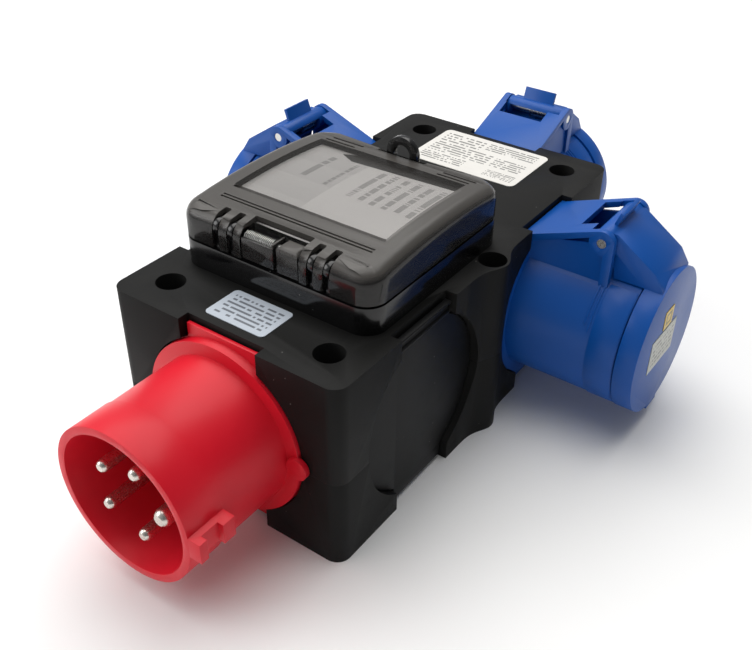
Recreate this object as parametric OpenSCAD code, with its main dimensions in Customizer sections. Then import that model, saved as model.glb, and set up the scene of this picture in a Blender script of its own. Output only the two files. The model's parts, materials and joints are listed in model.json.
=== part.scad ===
// Portable power distribution box: one five-pole inlet, three hinged-lid sockets, two blanked
// positions and a residual-current device under a sprung inspection lid.
// Frame: origin at the middle of the base, +Z up, -Y towards the inlet, +X towards the right side.

/* [Case] */
// Width of the case across its long sides
case_w = 108; // [100:1:140]
// Length of the case from the inlet end to the rear end
case_l = 207; // [200:1:260]
// Height of the case
case_h = 83; // [80:1:104]
// Height of the parting line between the two shells
split_z = 39.5; // [34:0.5:44]
// Radius of the upright corners
case_r = 6; // [2:0.5:10]
// Wall thickness of the shells
case_wall = 3.5; // [2.5:0.5:4.5]
// Distance of the corner screws from the case sides
screw_inset = 16; // [14:0.5:18]
// Radius of the deep holes that take the screw heads
screw_hole_r = 5.9; // [4.5:0.1:6.5]
// Radius of the screw shanks
screw_r = 2; // [1.5:0.1:2.5]
// How far each side lug stands out
lug_out = 5; // [3:0.5:7]
// Distance along the case between the two positions of a side
position_pitch = 96; // [88:1:110]
// Shift of both side positions and the lug along the case
side_shift = -0.6; // [-3:0.1:3]

/* [Connector positions] */
// Height of the connector axes
conn_z = 41.5; // [40:0.5:46]
// Depth of the recess that a connector plate sits in
recess_d = 5; // [4:0.5:6]
// Radius of the round recess
recess_r = 37.5; // [36:0.5:39]
// Half width of the straight slot through the recess
slot_half = 18.2; // [16:0.1:20]
// Radius of the opening through the wall
aperture_r = 29.5; // [28.5:0.1:31]
// Thickness of a connector plate
plate_t = 1.6; // [1.2:0.1:2.4]
// Thickness of the gasket behind a connector plate
gasket_t = 0.8; // [0.4:0.1:1.2]
// Half width of the square tabs of a plate
tab_half = 16.8; // [14:0.1:18]
// Gap between the tab ends and the top and base of the case
tab_gap = 2.4; // [0.5:0.1:4]
// Radius of the round ring on a connector plate
ring_r = 36.75; // [34:0.25:37]

/* [Inlet] */
// Outer radius of the inlet shroud
shroud_r = 31.75; // [31:0.25:33]
// Wall thickness of the shroud
shroud_wall = 3.2; // [2.4:0.2:3.6]
// How far the shroud rim stands out from the case
shroud_out = 50.8; // [44:0.2:60]
// Distance of the pin tips behind the rim
tip_back = 2.5; // [1:0.5:6]
// Radius of the circle that the pins stand on
pin_circle_r = 15; // [13:0.5:17]
// Radius of a phase or neutral pin
pin_r = 2.5; // [2:0.1:3]
// Radius of the earth pin
earth_pin_r = 3.5; // [3:0.1:4]
// Free length of the pins in front of their carrier
pin_free = 38.5; // [30:0.5:42]

/* [Sockets] */
// Outer radius of the socket sleeve
sleeve_r = 32.2; // [31.4:0.1:34]
// Inner radius of the socket sleeve
sleeve_bore_r = 28; // [26:0.1:29]
// How far the sleeve stands out from the case
sleeve_out = 48.6; // [42:0.2:58]
// Outer radius of the contact carrier
carrier_r = 22; // [18:0.2:23]
// Radius of the circle that the contacts stand on
contact_circle_r = 10; // [9:0.5:12]
// Distance of the lid hinge axis from the case side
hinge_out = 30; // [28:0.5:34]
// Height of the lid hinge axis over the socket axis
hinge_up = 45.6; // [44:0.2:50]
// Radius of the hinge knuckles on the housing
knuckle_r = 5.4; // [4.6:0.1:6]
// Radius of the hinge pins of the socket lids
lid_pin_r = 2; // [1.5:0.1:2.4]
// Half width of the roof plate and its knuckles
roof_half = 18; // [16:0.5:20]
// Half width of the hood on the lid
hood_half = 14; // [12:0.5:15]
// Outer radius of the lid rim
lid_r = 33; // [32.6:0.1:36]
// Depth of the lid from its rim to its face
lid_depth = 8.6; // [7:0.2:12]

/* [Inspection window] */
// Width of the window frame and lid
win_w = 92; // [86:1:98]
// Length of the window frame and lid
win_l = 90; // [85:0.5:98]
// Place of the middle of the window along the case
win_y = -28.8; // [-32:0.2:-20]
// Radius of the corners of the frame and lid
win_r = 9; // [7:0.5:12]
// Height of the window frame
frame_h = 11.3; // [10:0.1:14]
// Gap between the frame and the lid
win_gap = 1; // [0.6:0.1:1.6]
// Height of the lid at its ends
lid_end_h = 12.3; // [12:0.1:18]
// Extra height of the arched top at its middle
lid_arch = 3.2; // [1:0.2:5]
// Wall thickness of the lid
lid_wall = 2.4; // [1.6:0.1:3]
// Radius of the hinge pin of the window lid
win_pin_r = 1.5; // [1:0.1:1.8]
// Radius of the padlock hole in the eye
eye_hole_r = 4; // [3:0.1:4.6]

/* [Protective device] */
// Width of the four-module device
rcd_w = 70; // [70:1:72]
// Length of the device along the case
rcd_l = 85; // [80:1:88]
// Length of its front zone
rcd_front_l = 45; // [44:0.5:46]
// Height of its shoulders above the mounting rail
rcd_shoulder_h = 44; // [40:0.5:44]
// Height of its front face above the mounting rail
rcd_front_h = 60; // [56:0.5:62]
// Width of the mounting rail
rail_w = 35; // [35:0.5:36]
// Height of the mounting rail
rail_h = 7.5; // [7:0.5:8]

/* [Hidden] */
$fn = 96;
e = 0.01;
pin_fit = 0.05;
run_fit = 0.08;
seat = 0.3;

half_w = case_w / 2;
half_l = case_l / 2;
cavity_x = half_w - recess_d - case_wall;
cavity_y = half_l - recess_d - case_wall;
pillar_r = screw_hole_r + 2.1;
screw_x = half_w - screw_inset;
screw_y = half_l - screw_inset;
lug_x = half_w - 2;
screw_head_z = split_z + 12;
screw_head_r = screw_hole_r - 1.4;
screw_head_h = 5;
screw_bottom_z = 9;
seal_t = 1.6;
seal_inset = 3;
screw_spots = concat(
    [for (x = [-1, 1], y = [-1, 1]) [x * screw_x, y * screw_y]],
    [for (x = [-1, 1]) [x * lug_x, side_shift]]);

// Each position: [place along X, place along Y, turn about Z]; local +X points outwards there.
front_y = side_shift - position_pitch / 2;
rear_y = side_shift + position_pitch / 2;
INLET_AT = [0, -half_l, -90];
RIGHT_AT = [half_w, rear_y, 0];
REAR_AT = [0, half_l, 90];
LEFT_AT = [-half_w, rear_y, 180];
BLANK_RIGHT_AT = [half_w, front_y, 0];
BLANK_LEFT_AT = [-half_w, front_y, 180];
POSITIONS = [INLET_AT, RIGHT_AT, REAR_AT, LEFT_AT, BLANK_RIGHT_AT, BLANK_LEFT_AT];

// Distances along a connector axis, zero at the case side.
plate_back = -recess_d + gasket_t;
plate_front = plate_back + plate_t;
plate_r = recess_r - 0.5;
neck_r = aperture_r - seat;
neck_back = -recess_d - case_wall - seat;
clamp_r = aperture_r + 2.2;
clamp_t = 2.4;
bore_back_r = neck_r - 4.4;
ring_front = 1.1;
blue_ring_front = -0.9;
tab_up = case_h - tab_gap - conn_z;
tab_down = conn_z - tab_gap;
blank_rib = 1.2;
blank_rib_pitch = 4;

// Inlet
shroud_bore_r = shroud_r - shroud_wall;
shroud_band = 16.5;
shroud_step = 0.45;
inlet_face = shroud_out - tip_back - pin_free;
pin_tail = -22;
pin_shoulder = 0.5;
key_half = 4.3;
key_h = 5;
key_pocket_back = 5.5;
key_pocket_floor = 2.4;
key_rib = 3.5;
nub_r = 4.6;
nub_front = 2.5;

// Sockets
cavity_floor = 11;
carrier_front = sleeve_out - 2;
carrier_back = -18;
contact_back = carrier_back - 5;
contact_wall = 1.1;
contact_front = carrier_front - 1.5;
lip_up = tab_up;
roof_t = 2.4;
roof_tilt = atan2(hinge_up + knuckle_r - lip_up, hinge_out - plate_front);
web_in = 1.4;
web_t = 1.5;
leg_t = 3;
barrel_r = knuckle_r - 0.5;
barrel_half = roof_half - leg_t - seat;
roof_relief_r = barrel_r + 1.9;
lid_gap = 0.7;
lid_back = sleeve_out + lid_gap;
lid_face = lid_back + lid_depth;
lid_wall_r = 2;
thumb_half = 5;
thumb_drop = 1.6;
seal_back = sleeve_out + seat;
hood_t = 2;
hood_top = hinge_up + barrel_r - 1;
hood_knee_u = lid_face - 5.2;
hood_knee_z = hinge_up - 8.2;
hood_foot_z = 30;
hood_lift = 0.8;
fin_half = 8.3;
fin_h = 4.6;
fin_t = 1.6;
fin_lean = 20;
spring_wire = 0.45;
slot_v = [-9, 14.4];
slot_u = [hinge_out - 13, hinge_out - 3];

// Window
frame_top = case_h + frame_h;
lid_z = frame_top + win_gap;
lid_top = lid_z + lid_end_h;
frame_wall = 2.5;
ledge_w = 5;
opening_w = win_w - 13;
opening_l = win_l - 10.5;
skirt_t = 2;
skirt_d = 5;
win_front = win_y - win_l / 2;
win_rear = win_y + win_l / 2;
hinge_y = win_front + 3.8;
hinge_z = lid_z + 8;
ear_r = 3.6;
ear_w = 2.2;
ear_slot = 3.2;
ear_spots = [-26, -18.8, 18.8, 26];
cut_half = 13.8;
tube_half = cut_half - 0.4;
eye_y = win_rear - 4.5;
eye_t = 2.6;
eye_side = 4.5;
eye_before = 0.7;
eye_behind = 1.7;
eye_half = 7.4;
eye_z = lid_top + 1.8;
floor_t = 2.4;
leaf_t = 0.4;
leaf_w = win_w - 22;
leaf_l = win_l - 20;
arch_r = (pow(win_l / 2, 2) + pow(lid_arch, 2)) / (2 * lid_arch);
arch_z = lid_top + lid_arch - arch_r;

// Protective device
rail_top = case_h - case_wall - 1 - rcd_shoulder_h;
rail_t = 1;
rail_len = rcd_w + 8;
rcd_front_z = rail_top + rcd_front_h;
lever_y = win_y;
lever_z = rcd_front_z - 5;
lever_r = 5;
lever_w = 16;
button_x = 24;
button_r = 3.2;
button_travel = 1.8;
terminal_z = rail_top + 26;
block_half = 26;
block_w = 8;
block_h = 9;
block_base = case_wall + 6;
block_top = block_base + block_h;
EARTH_X = [-18, -6, 6, 18];
NEUTRAL_X = [-18, -6, 12, 22];
earth_y = 58;
neutral_y = 70;
wire_r = 1.6;
elbow_swell = 0.2;

// ---- Shared shapes ----

module rounded_rect(w, l, r) {
    square([w - 2 * r, l], center = true);
    square([w, l - 2 * r], center = true);
    for (x = [-1, 1], y = [-1, 1])
        translate([x * (w / 2 - r), y * (l / 2 - r)]) circle(r);
}

// A bell-shaped bulge on a long side, swept as a smooth curve.
module lug_outline() {
    reach = 22;
    polygon(concat([[-6, reach], [-6, -reach]],
        [for (i = [-12:12]) let (y = i * reach / 12) [lug_out * exp(-pow(y / 8, 2)), y]]));
}

module case_outline() {
    rounded_rect(case_w, case_l, case_r);
    for (s = [0, 1]) rotate(180 * s)
        translate([half_w, side_shift * (1 - 2 * s)]) lug_outline();
}

// Places its children at a connector position, local +X outwards and Z from the connector axis.
module at(p) {
    translate([p[0], p[1], conn_z]) rotate(p[2]) children();
}

// Lays a shape drawn in X and Y (out, up) into the position's X and Z, centred across it.
module across(half, from = undef) {
    start = is_undef(from) ? -half : from;
    length = is_undef(from) ? 2 * half : half - from;
    translate([0, start + length, 0]) rotate([90, 0, 0]) linear_extrude(length) children();
}

// A round bar along the connector axis.
module bar(r, from, to) {
    translate([from, 0, 0]) rotate([0, 90, 0]) cylinder(r = r, h = to - from);
}

// A round bar across the connector axis.
module cross_bar(r, from, to) {
    translate([0, to, 0]) rotate([90, 0, 0]) cylinder(r = r, h = to - from);
}

// The outline of a connector plate, seen along its axis, drawn with X across and Y up.
module plate_outline(r) {
    circle(r);
    translate([-tab_half, -tab_down]) square([2 * tab_half, tab_down + tab_up]);
}

module plate(from, to) {
    translate([from, 0, 0]) rotate([90, 0, 90]) linear_extrude(to - from) plate_outline(plate_r);
}

// The part of every connector that sits in its recess and is clamped behind the wall.
module connector_base(front) {
    plate(plate_back, plate_front);
    bar(ring_r, plate_front - e, front);
    bar(neck_r, neck_back, plate_back + e);
    bar(clamp_r, neck_back - clamp_t, neck_back);
}

// ---- Case ----

module recesses() {
    for (p = POSITIONS) at(p) {
        bar(recess_r, -recess_d, 10);
        translate([-recess_d, -slot_half, -conn_z - 1]) cube([15, 2 * slot_half, case_h + 2]);
        bar(aperture_r, -recess_d - case_wall - 1, 0);
    }
}

module pillars(from, to) {
    for (s = screw_spots) translate([s[0], s[1], from]) cylinder(r = pillar_r, h = to - from);
}

module case_cavity(from, to) {
    difference() {
        translate([-cavity_x, -cavity_y, from]) cube([2 * cavity_x, 2 * cavity_y, to - from]);
        pillars(from - 1, to + 1);
    }
}

module seal_path(width) {
    difference() {
        square([2 * (cavity_x + seal_inset - 1), 2 * (cavity_y + seal_inset - 1)], center = true);
        square([2 * (cavity_x + seal_inset - 1 - width), 2 * (cavity_y + seal_inset - 1 - width)],
            center = true);
        for (s = screw_spots) translate(s) circle(screw_hole_r);
    }
}

module lower_shell() {
    color("#1b1b1c") difference() {
        linear_extrude(split_z) case_outline();
        case_cavity(case_wall, split_z + 1);
        recesses();
        for (s = screw_spots) translate([s[0], s[1], screw_bottom_z - 1])
            cylinder(r = screw_r - pin_fit, h = split_z);
        translate([0, 0, split_z - seal_t / 2]) linear_extrude(seal_t) seal_path(1.6);
    }
    color("#1b1b1c") for (x = [-1, 1]) difference() {
        translate([x * (rcd_w / 2 - 8), win_y, case_wall - e])
            cylinder(r = 6, h = rail_top - rail_h - case_wall + e);
        translate([x * (rcd_w / 2 - 8), win_y, rail_top - rail_h - 12])
            cylinder(r = 1.6, h = 20);
    }
    color("#1b1b1c") for (y = [earth_y, neutral_y])
        translate([-block_half, y - block_w / 2, case_wall - e])
            cube([2 * block_half, block_w, block_base - case_wall + e]);
}

module upper_shell() {
    color("#1b1b1c") difference() {
        translate([0, 0, split_z]) linear_extrude(case_h - split_z) case_outline();
        case_cavity(split_z - 1, case_h - case_wall);
        recesses();
        for (s = screw_spots) translate([s[0], s[1], 0]) {
            translate([0, 0, screw_head_z]) cylinder(r = screw_hole_r, h = case_h);
            cylinder(r = screw_r + 0.4, h = case_h);
        }
        translate([0, win_y, case_h - case_wall - 1]) linear_extrude(case_wall + 2)
            rounded_rect(opening_w, opening_l, 4);
        translate([0, 0, split_z - seal_t / 2]) linear_extrude(seal_t) seal_path(1.6);
        frame_screw_spots(case_h - case_wall - 2) cylinder(r = 1.5, h = 10);
    }
}

module case_seal() {
    color("#2a2a2a") difference() {
        translate([0, 0, split_z - seal_t / 2]) linear_extrude(seal_t) seal_path(1.6);
        recesses();
    }
}

module case_screws() {
    color("silver") for (s = screw_spots) translate([s[0], s[1], 0]) difference() {
        union() {
            translate([0, 0, screw_bottom_z]) cylinder(r = screw_r - 0.1,
                h = screw_head_z - screw_bottom_z);
            translate([0, 0, screw_head_z]) cylinder(r = screw_head_r, h = screw_head_h);
        }
        translate([0, 0, screw_head_z + 2]) cylinder(r = 2.2, h = 10, $fn = 6);
    }
}

module position_gaskets() {
    color("#242424") for (p = POSITIONS) at(p) difference() {
        bar(recess_r - 2, -recess_d, plate_back);
        bar(neck_r + seat, -recess_d - 1, plate_back + 1);
    }
}

module blank_plate(p) {
    color("#161617") at(p) difference() {
        union() {
            plate(plate_back, plate_front);
            for (z = [tab_up - blank_rib, tab_up - blank_rib_pitch - blank_rib])
                translate([plate_front - e, -tab_half, z])
                    cube([blank_rib + e, 2 * tab_half, blank_rib]);
            bar(neck_r, neck_back, plate_back + e);
            bar(clamp_r, neck_back - clamp_t, neck_back);
        }
        bar(neck_r - 2.4, neck_back - clamp_t - 1, plate_back - 0.4);
    }
}

// ---- Inlet ----

module inlet_housing() {
    color("#d01f32") at(INLET_AT) difference() {
        union() {
            connector_base(ring_front);
            bar(shroud_r - shroud_step, plate_front, shroud_out - shroud_band);
            bar(shroud_r, shroud_out - shroud_band, shroud_out);
            inlet_key();
            translate([seat, ring_r - 0.4, 0]) rotate([0, 90, 0])
                cylinder(r = nub_r, h = nub_front - seat);
        }
        bar(shroud_bore_r, plate_front, shroud_out + 1);
        bar(bore_back_r, neck_back - clamp_t - 1, plate_front + 1);
    }
}

// The polarising key on the outside of the shroud, with a shallow pocket between its two ends.
module inlet_key() {
    reach = shroud_bore_r + 1;
    translate([shroud_out - shroud_band, 0, -key_half]) difference() {
        translate([0, reach, 0]) cube([shroud_band, shroud_r + key_h - reach, 2 * key_half]);
        translate([key_pocket_back, shroud_r + key_pocket_floor, -1])
            cube([shroud_band - key_pocket_back - key_rib, key_h, 2 * key_half + 2]);
    }
}

function pin_angle(i) = 90 - 72 * i;

module pin_at(i) {
    rotate([pin_angle(i) - 90, 0, 0]) translate([0, pin_circle_r, 0]) children();
}

module inlet_carrier() {
    color("#b01828") at(INLET_AT) difference() {
        union() {
            bar(shroud_bore_r - seat, plate_front, inlet_face);
            bar(bore_back_r - seat, neck_back - clamp_t - 6, plate_front + e);
        }
        for (i = [0:4]) pin_at(i)
            bar((i == 0 ? earth_pin_r : pin_r) - pin_shoulder + pin_fit, pin_tail, inlet_face + 1);
    }
}

module round_pin(r) {
    tip = r * 0.8;
    bar(r - pin_shoulder, pin_tail, inlet_face + pin_fit + e);
    bar(r, inlet_face + pin_fit, shroud_out - tip_back - tip);
    translate([shroud_out - tip_back - tip, 0, 0]) rotate([0, 90, 0])
        rotate_extrude() intersection() {
            circle(r = r);
            square([r, tip]);
        }
}

module inlet_phase_pins() {
    color("#c9c6bd") at(INLET_AT) for (i = [1:4]) pin_at(i) round_pin(pin_r);
}

module inlet_earth_pin() {
    color("#c9c6bd") at(INLET_AT) pin_at(0) round_pin(earth_pin_r);
}

// ---- Sockets ----

module roof_profile() {
    c = cos(roof_tilt);
    s = sin(roof_tilt);
    end = [hinge_out - knuckle_r * s, hinge_up + knuckle_r * c];
    polygon([[plate_back, lip_up - roof_t - 1], [plate_back, lip_up], [plate_front, lip_up], end,
        [end[0] + roof_t * s, end[1] - roof_t * c], [plate_front, lip_up - roof_t - 1]]);
}

module web_profile() {
    low = sqrt(pow(sleeve_r, 2) - pow(roof_half - web_in, 2)) - 1.2;
    polygon([[plate_front, low], [plate_front, lip_up - 1.5], [hinge_out + 2, hinge_up],
        [hinge_out + 2, low]]);
}

module knuckle_and_leg() {
    low = sqrt(pow(sleeve_r, 2) - pow(roof_half - leg_t, 2)) - 2.4;
    translate([hinge_out, hinge_up]) circle(knuckle_r);
    translate([hinge_out + 1.4, low]) square([knuckle_r - 1.4, hinge_up - low]);
}

module socket_housing(p) {
    color("#1f55a5") at(p) difference() {
        union() {
            connector_base(blue_ring_front);
            bar(sleeve_r, plate_front, sleeve_out);
            difference() {
                across(roof_half) roof_profile();
                translate([hinge_out, 0, hinge_up])
                    cross_bar(roof_relief_r, -barrel_half - seat, barrel_half + seat);
                translate([slot_u[0], slot_v[0], hinge_up - 8])
                    cube([slot_u[1] - slot_u[0] + 10, slot_v[1] - slot_v[0], 20]);
            }
            for (s = [-1, 1]) {
                edge = roof_half - web_in;
                across(s > 0 ? edge : -edge + web_t, s > 0 ? edge - web_t : -edge) web_profile();
                across(s > 0 ? roof_half : -roof_half + leg_t, s > 0 ? roof_half - leg_t : -roof_half)
                    knuckle_and_leg();
            }
        }
        bar(sleeve_bore_r, cavity_floor, sleeve_out + 1);
        bar(bore_back_r, neck_back - clamp_t - 1, cavity_floor + 1);
        translate([hinge_out, 0, hinge_up]) cross_bar(lid_pin_r + pin_fit, -30, 30);
    }
}

function contact_angle(i) = 180 + 120 * i;

module contact_at(i) {
    rotate([contact_angle(i), 0, 0]) translate([0, 0, contact_circle_r]) children();
}

module socket_carrier(p) {
    color("#17407e") at(p) difference() {
        union() {
            bar(carrier_r, cavity_floor, carrier_front);
            bar(sleeve_bore_r - seat, cavity_floor, cavity_floor + 3);
            bar(bore_back_r - seat, carrier_back, cavity_floor + e);
        }
        for (i = [0:2]) contact_at(i)
            bar((i == 0 ? earth_pin_r : pin_r) + contact_wall + pin_fit + run_fit,
                carrier_back - 1, carrier_front + 1);
    }
}

module socket_contacts(p) {
    color("#c8a24a") at(p) for (i = [0:2]) contact_at(i) {
        bore = (i == 0 ? earth_pin_r : pin_r) + run_fit;
        difference() {
            bar(bore + contact_wall, contact_back, contact_front);
            bar(bore, contact_back + 14, contact_front + 1);
        }
    }
}

// The lid: a flat round face with a rim, and a hood that reaches up to the hinge barrel.
module hood_profile(inset) {
    polygon([[hinge_out + 1, hood_top - inset * 1.2], [hinge_out + 5, hood_top - inset * 1.2],
        [hood_knee_u - inset * 0.5, hood_knee_z - inset], [lid_face - 1 - inset, hood_foot_z + 1],
        [lid_face - 1 - inset, hood_foot_z - 4],
        [hinge_out + barrel_r + 2 + inset, hood_foot_z - 4],
        [hinge_out + 4 + inset * 1.2, hinge_up - 4]]);
}

module fin() {
    rotate([0, -90 + fin_lean, 0]) {
        translate([0, -fin_half, -fin_t / 2]) cube([fin_h + 3, 2 * fin_half, fin_t]);
    }
}

module socket_lid(p) {
    color("#2c66b8") at(p) difference() {
        union() {
            difference() {
                union() {
                    bar(lid_r, lid_back, lid_face);
                    across(hood_half) hood_profile(0);
                }
                bar(lid_r - lid_wall_r, lid_back - 1, lid_back + 2.6);
                bar(lid_r - lid_wall_r - 4, lid_back - 1, lid_face - 2);
                difference() {
                    across(hood_half - hood_t) hood_profile(hood_t);
                    bar(lid_r - 0.5, 0, lid_face + 1);
                }
                bar(sleeve_r + hood_lift, 0, lid_back);
            }
            translate([hinge_out, 0, hinge_up]) {
                cross_bar(barrel_r, -barrel_half, barrel_half);
                translate([0.6, 0, 3]) fin();
            }
            translate([lid_back, -thumb_half, -lid_r - thumb_drop])
                cube([lid_depth, 2 * thumb_half, thumb_drop + 1.4]);
        }
        translate([hinge_out, 0, hinge_up]) {
            cross_bar(lid_pin_r + run_fit, -20, 20);
            cross_bar(barrel_r - 0.9, slot_v[0] + 0.6, slot_v[1] - 1.4);
            translate([-10, slot_v[0] + 0.6, -8]) cube([8.4, slot_v[1] - slot_v[0] - 2, 10]);
        }
    }
}

module lid_seal(p) {
    color("#333333") at(p) difference() {
        bar(lid_r - lid_wall_r - seat, seal_back, lid_back + 2.6 - e);
        bar(sleeve_bore_r - 0.6, seal_back - 1, lid_back + 4);
    }
}

module lid_pin(p) {
    color("#d6d6d2") at(p) translate([hinge_out, 0, hinge_up])
        cross_bar(lid_pin_r, -roof_half + 0.2, roof_half - 0.2);
}

// A torsion spring lying along Y: close-wound turns, turned as one ridged sleeve, with straight ends.
module coil(turns, mean_r, wire) {
    pitch = wire * 1.9;
    rotate([-90, 0, 0]) rotate_extrude() {
        for (i = [0:turns - 1]) translate([mean_r, i * pitch]) circle(wire, $fn = 24);
        translate([mean_r - wire / 2, 0]) square([wire, (turns - 1) * pitch]);
    }
}

module torsion_spring(turns, mean_r, wire) {
    coil(turns, mean_r, wire);
    for (y = [0, (turns - 1) * wire * 1.9])
        translate([-mean_r, y, -2.7]) cylinder(r = wire * 0.9, h = 2.7, $fn = 24);
}

module lid_spring(p) {
    color("#b9b9b6") at(p) translate([hinge_out, slot_v[0] + 1.6, hinge_up])
        torsion_spring(12, lid_pin_r + 0.2 + spring_wire, spring_wire);
}

module lid_label(p) {
    color("#c9c9c4") at(p) translate([lid_face, 0, 0]) {
        translate([0, -16, -9]) cube([0.3, 26, 16]);
        translate([0, -6, 8]) cube([0.3, 9, 9]);
    }
}

// ---- Inspection window ----

module frame_screw_spots(z) {
    for (x = [-1, 1], y = [-1, 1])
        translate([x * (opening_w / 2 + 2.2), win_y + y * (opening_l / 2 - 12), z]) children();
}

module window_frame() {
    color("#151516") difference() {
        union() {
            translate([0, win_y, case_h]) linear_extrude(frame_h) difference() {
                rounded_rect(win_w, win_l, win_r);
                rounded_rect(win_w - 2 * ledge_w, win_l - 2 * ledge_w, win_r - ledge_w);
            }
            translate([0, win_y, case_h]) linear_extrude(floor_t) difference() {
                rounded_rect(win_w - 4, win_l - 4, win_r - 2);
                square([rcd_w + 1, rcd_front_l + 1], center = true);
            }
            translate([0, win_y, case_h - skirt_d]) linear_extrude(skirt_d + e) difference() {
                rounded_rect(opening_w - 2 * seat, opening_l - 2 * seat, 4 - seat);
                square([opening_w - 2 * skirt_t, opening_l - 2 * skirt_t], center = true);
            }
            for (x = ear_spots) translate([x - ear_w / 2, 0, 0]) hinge_ear();
            padlock_eye();
        }
        translate([-50, hinge_y, hinge_z]) rotate([0, 90, 0])
            cylinder(r = win_pin_r + pin_fit, h = 100);
        frame_screw_spots(case_h - 1) cylinder(r = 1.7, h = 20);
        frame_screw_spots(case_h + floor_t) cylinder(r = 3, h = 20);
        translate([-rcd_w / 2 - 2, win_y - rcd_l / 2 - 1, case_h - skirt_d - 1])
            cube([rcd_w + 4, rcd_l + 2, rail_top + rcd_shoulder_h - case_h + skirt_d + 1.4]);
    }
}

module hinge_ear() {
    translate([0, hinge_y, hinge_z]) rotate([0, 90, 0]) cylinder(r = ear_r, h = ear_w);
    translate([0, hinge_y - 2.2, frame_top - 2]) cube([ear_w, 4.4, hinge_z - frame_top + 2]);
}

module padlock_eye() {
    low = frame_top - 1;
    translate([0, eye_y + eye_t / 2, 0]) rotate([90, 0, 0]) linear_extrude(eye_t) difference() {
        union() {
            translate([0, eye_z]) circle(eye_half);
            translate([-eye_half, low]) square([2 * eye_half, eye_z - low]);
        }
        translate([0, eye_z]) circle(eye_hole_r);
    }
}

module window_seal() {
    color("#303030") translate([0, win_y, frame_top + seat]) linear_extrude(2) difference() {
        rounded_rect(win_w - 2 * lid_wall - 2 * seat, win_l - 2 * lid_wall - 2 * seat,
            win_r - lid_wall - seat);
        rounded_rect(win_w - 2 * lid_wall - 4, win_l - 2 * lid_wall - 4, win_r - lid_wall - 2);
        translate([0, eye_y - win_y]) square([2 * eye_half + 2, eye_t + 5], center = true);
        for (x = ear_spots) translate([x, hinge_y - win_y]) square([ear_slot, 12], center = true);
    }
}

// The lid's side view: an arch with rounded ends, inset by a wall.
module lid_side(inset) {
    r = 5 - inset / 2;
    intersection() {
        translate([win_y, arch_z]) circle(arch_r - inset, $fn = 360);
        union() {
            translate([win_front + inset, lid_z - 1]) square([win_l - 2 * inset, lid_end_h - 4]);
            translate([win_front + inset + r, lid_z - 1]) square([win_l - 2 * inset - 2 * r, 30]);
            for (y = [win_front + inset + r, win_rear - inset - r])
                translate([y, lid_top - 4.6]) circle(r);
        }
    }
}

module lid_solid(inset) {
    intersection() {
        translate([-win_w / 2 - 1, 0, 0]) rotate([90, 0, 90]) linear_extrude(win_w + 2)
            lid_side(inset);
        translate([0, win_y, lid_z - (inset > 0 ? 1 : 0)]) linear_extrude(40)
            rounded_rect(win_w - 2 * inset, win_l - 2 * inset, win_r - inset);
        translate([0, win_rear + 1, 0]) rotate([90, 0, 0]) linear_extrude(win_l + 2)
            lid_front(inset);
    }
}

module lid_front(inset) {
    r = 5 - inset / 2;
    w = win_w / 2 - inset;
    high = lid_top + lid_arch - inset;
    translate([-w, lid_z - 1]) square([2 * w, high - r - lid_z + 1]);
    translate([-w + r, lid_z - 1]) square([2 * (w - r), high - lid_z + 1]);
    for (x = [-w + r, w - r]) translate([x, high - r]) circle(r);
}

module window_lid() {
    color("#3d3b38") difference() {
        union() {
            difference() {
                lid_solid(0);
                lid_solid(lid_wall);
            }
            intersection() {
                lid_solid(0);
                translate([-30, hinge_y, hinge_z]) rotate([0, 90, 0])
                    cylinder(r = ear_r + 0.2, h = 60);
            }
        }
        for (x = ear_spots) translate([x - ear_slot / 2, win_front - 1, lid_z - 1])
            cube([ear_slot, 9.6, 30]);
        translate([-cut_half, win_front - 1, hinge_z + ear_r - 1]) cube([2 * cut_half, 7.4, 20]);
        translate([-cut_half, hinge_y + ear_r, hinge_z - 4]) cube([2 * cut_half, 2.6, 20]);
        translate([-50, hinge_y, hinge_z]) rotate([0, 90, 0])
            cylinder(r = win_pin_r + run_fit, h = 100);
        translate([-cut_half + 1, hinge_y, hinge_z]) rotate([0, 90, 0])
            cylinder(r = ear_r - 0.7, h = 15);
        translate([-cut_half + 1, hinge_y - 6, hinge_z + 0.6]) cube([15, 12, 6]);
        translate([-eye_half - eye_side, eye_y - eye_t / 2 - eye_before, lid_z - 1])
            cube([2 * (eye_half + eye_side), eye_before + eye_t + eye_behind, 40]);
    }
}

module window_pin() {
    color("#c4c4c0") translate([-28.6, hinge_y, hinge_z]) rotate([0, 90, 0])
        cylinder(r = win_pin_r, h = 57.2);
}

module window_spring() {
    wire = 0.35;
    color("#b9b9b6") translate([-cut_half + 1.8, hinge_y, hinge_z]) rotate([0, 0, -90])
        coil(19, win_pin_r + 0.15 + wire, wire);
}

module leaflet() {
    r = arch_r - lid_wall - seat;
    color("#c9c4bf") intersection() {
        translate([-leaf_w / 2 - 1, 0, 0]) rotate([90, 0, 90]) linear_extrude(leaf_w) difference() {
            translate([win_y, arch_z]) circle(r, $fn = 360);
            translate([win_y, arch_z]) circle(r - leaf_t, $fn = 360);
        }
        translate([-win_w / 2, win_front + 9.8, lid_z]) cube([win_w, leaf_l, 40]);
    }
}

module frame_screws() {
    color("silver") frame_screw_spots(case_h - case_wall) {
        cylinder(r = 1.45, h = case_wall + floor_t);
        translate([0, 0, case_wall + floor_t]) cylinder(r = 2.7, h = 2);
    }
}

// ---- Protective device and wiring ----

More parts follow.
